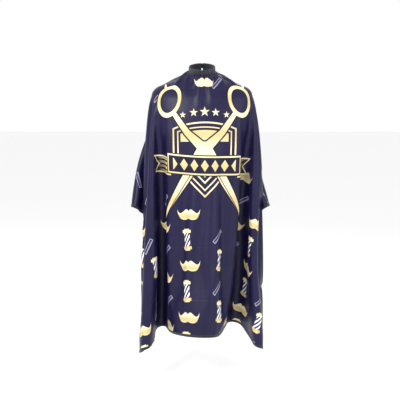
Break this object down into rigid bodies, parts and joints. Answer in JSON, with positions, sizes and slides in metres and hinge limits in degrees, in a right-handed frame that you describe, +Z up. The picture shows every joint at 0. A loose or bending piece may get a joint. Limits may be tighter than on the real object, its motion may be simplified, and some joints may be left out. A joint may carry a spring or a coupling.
{
  "type": "barber cape",
  "caption": "Hair-cutting cape: a printed cloth panel gathered into a short elastic collar that fastens at the nape with a snap tab.",
  "frame": {"origin": "centre of the neck opening, at half the height of the collar", "axes": "+Z up, -Y towards the wearer's front, +X towards the wearer's left side; the neck opening leans 18 degrees forward"},
  "size_m": [0.749, 0.4898, 1.4704],
  "materials": {
    "printed_cloth": "satin",
    "trim_fabric": "matte",
    "elastic": "matte",
    "snap_metal": "satin"
  },
  "bodies": {
    "cape": {"cape_panel": "printed_cloth", "hem_bottom": "trim_fabric", "hem_left": "trim_fabric", "hem_right": "trim_fabric", "hem_top_left": "trim_fabric", "hem_top_right": "trim_fabric", "neck_binding": "trim_fabric", "collar_outer": "trim_fabric", "collar_lining": "trim_fabric", "tab_anchor": "trim_fabric", "collar_elastic": "elastic", "snap_studs": "snap_metal", "stud_backs": "snap_metal"},
    "tab": {"tab_outer": "trim_fabric", "tab_lining": "trim_fabric", "snap_sockets": "snap_metal", "snap_caps": "snap_metal"}
  },
  "joints": [
    {"name": "tab_peel", "type": "hinge", "parent": "cape", "child": "tab", "pos_m": [0.02466, 0.06109, 0.01985], "axis": [0, 0.309, -0.9511], "range_deg": [0, 130]}
  ]
}
